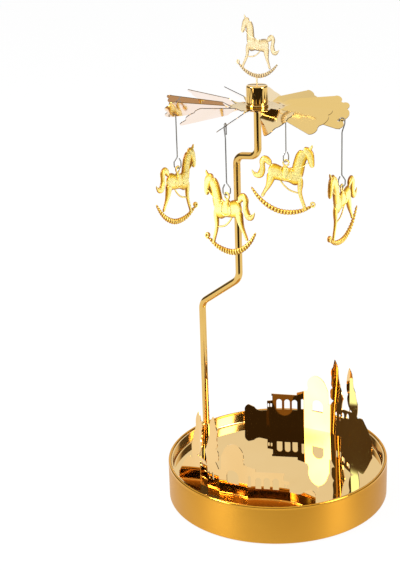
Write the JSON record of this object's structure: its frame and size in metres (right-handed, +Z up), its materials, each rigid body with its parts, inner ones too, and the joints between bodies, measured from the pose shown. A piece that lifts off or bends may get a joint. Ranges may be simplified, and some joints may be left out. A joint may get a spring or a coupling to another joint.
{
  "type": "rotary candle carousel",
  "caption": "Rotary candle holder: a mirror tray with cut-out skylines, a bent wire mast, and a heat-driven fan wheel on a needle point that carries hanging rocking horses",
  "frame": {"origin": "centre of the tray, on the surface that it stands on (the underside of the felt pad)", "axes": "+Z up; +Y away from the viewer of the picture, +X to their right; the mast stands at the left rear of the tray"},
  "size_m": [0.1013, 0.1, 0.2165],
  "materials": {
    "tray_gold": "satin gold lacquered drum, with a bright rolled rim",
    "mirror_gold": "mirror-polished gold sheet",
    "mast_gold": "polished gold wire",
    "fan_gold": "thin etched gold sheet, bright",
    "figure_gold": "pressed gold sheet with raised detail",
    "wire_steel": "drawn wire, silver grey",
    "plain_steel": "plain steel",
    "felt": "dark felt"
  },
  "bodies": {
    "base": {"base_shell": "tray_gold", "bottom_plate": "plain_steel", "base_pad": "felt", "mirror_dish": "mirror_gold", "rod_socket": "mast_gold", "socket_washer": "plain_steel", "socket_nut": "plain_steel", "lower_rod": "mast_gold", "upper_rod": "mast_gold", "pivot_needle": "plain_steel", "skyline_back": "mirror_gold", "skyline_front": "mirror_gold"},
    "rotor": {"fan_wheel": "fan_gold", "hub_cap": "mirror_gold", "hub_collar": "mast_gold", "pivot_cup": "mast_gold", "finial_horse": "fan_gold"},
    "hanger_1": {"hanger_wire_1": "wire_steel"},
    "horse_1": {"horse_1": "figure_gold"},
    "hanger_2": {"hanger_wire_2": "wire_steel"},
    "horse_2": {"horse_2": "figure_gold"},
    "hanger_3": {"hanger_wire_3": "wire_steel"},
    "horse_3": {"horse_3": "figure_gold"},
    "hanger_4": {"hanger_wire_4": "wire_steel"},
    "horse_4": {"horse_4": "figure_gold"}
  },
  "joints": [
    {"name": "rotor_spin", "type": "hinge", "parent": "base", "child": "rotor", "pos_m": [-0.00686, 0.00468, 0.1786], "axis": [0, 0, 1], "continuous": true},
    {"name": "hanger_swing_1", "type": "hinge", "parent": "rotor", "child": "hanger_1", "pos_m": [-0.04223, 0.01704, 0.17715], "axis": [0.2756, 0.9613, 0], "range_deg": [-15, 25]},
    {"name": "horse_rock_1", "type": "hinge", "parent": "hanger_1", "child": "horse_1", "pos_m": [-0.04223, 0.01704, 0.14862], "axis": [0.848, -0.5299, 0], "range_deg": [-20, 20]},
    {"name": "hanger_swing_2", "type": "hinge", "parent": "rotor", "child": "hanger_2", "pos_m": [-0.01923, -0.03073, 0.17806], "axis": [-0.9613, 0.2756, 0], "range_deg": [-15, 25]},
    {"name": "horse_rock_2", "type": "hinge", "parent": "hanger_2", "child": "horse_2", "pos_m": [-0.01923, -0.03073, 0.14953], "axis": [0.7133, 0.7009, 0], "range_deg": [-20, 20]},
    {"name": "hanger_swing_3", "type": "hinge", "parent": "rotor", "child": "hanger_3", "pos_m": [0.00537, 0.03961, 0.17379], "axis": [0.9613, -0.2756, 0], "range_deg": [-15, 25]},
    {"name": "horse_rock_3", "type": "hinge", "parent": "hanger_3", "child": "horse_3", "pos_m": [0.00537, 0.03961, 0.14527], "axis": [-0.225, -0.9744, 0], "range_deg": [-20, 20]},
    {"name": "hanger_swing_4", "type": "hinge", "parent": "rotor", "child": "hanger_4", "pos_m": [0.02824, -0.0076, 0.17468], "axis": [-0.2756, -0.9613, 0], "range_deg": [-15, 25]},
    {"name": "horse_rock_4", "type": "hinge", "parent": "hanger_4", "child": "horse_4", "pos_m": [0.02824, -0.0076, 0.14616], "axis": [-0.8934, 0.4493, 0], "range_deg": [-20, 20]}
  ]
}
